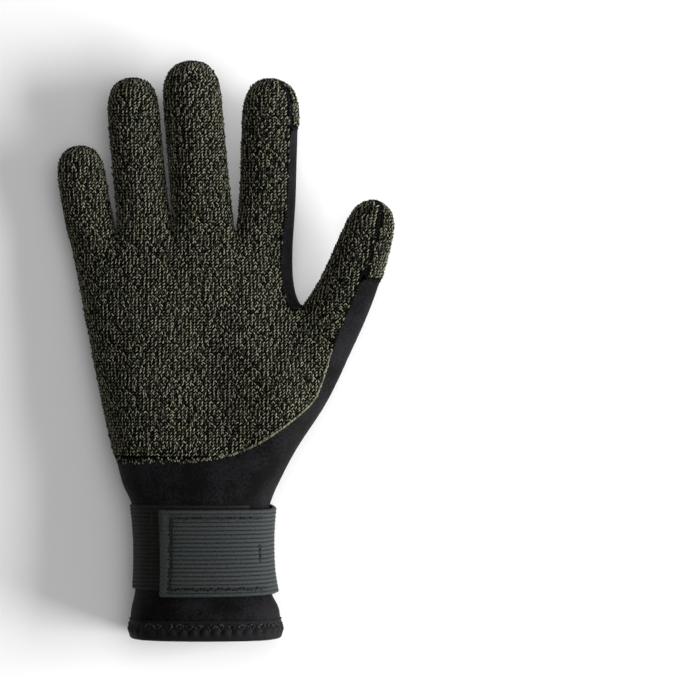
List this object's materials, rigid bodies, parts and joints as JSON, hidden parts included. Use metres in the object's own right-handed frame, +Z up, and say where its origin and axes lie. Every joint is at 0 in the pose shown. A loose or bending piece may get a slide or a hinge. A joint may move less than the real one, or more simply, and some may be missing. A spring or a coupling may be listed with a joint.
{
  "type": "diving glove",
  "caption": "Right-hand neoprene diving glove with a knitted cut-resistant palm and fingertips, a ribbed wrist strap and a bound cuff, lying palm up.",
  "frame": {"origin": "middle of the bounding box, on the surface that the back of the hand lies on", "axes": "+Z up, out of the palm; +Y towards the fingertips, away from the cuff's opening; +X towards the thumb"},
  "size_m": [0.1572, 0.2696, 0.0471],
  "materials": {
    "knit": "coarse knit",
    "neoprene": "matte, jersey-faced",
    "webbing": "ribbed webbing",
    "hook_tape": "hook tape",
    "binding": "folded tape",
    "label": "satin"
  },
  "bodies": {
    "root": {"palm_panel": "knit", "tip_cap_little": "knit", "tip_cap_ring": "knit", "tip_cap_middle": "knit", "tip_cap_index": "knit", "tip_cap_thumb": "knit", "back_shell": "neoprene", "back_middle_panel": "neoprene", "back_ring_panel": "neoprene", "cuff_gusset": "neoprene", "wrist_strap": "webbing", "hook_patch": "hook_tape", "cuff_binding": "binding", "care_label": "label"}
  },
  "joints": []
}
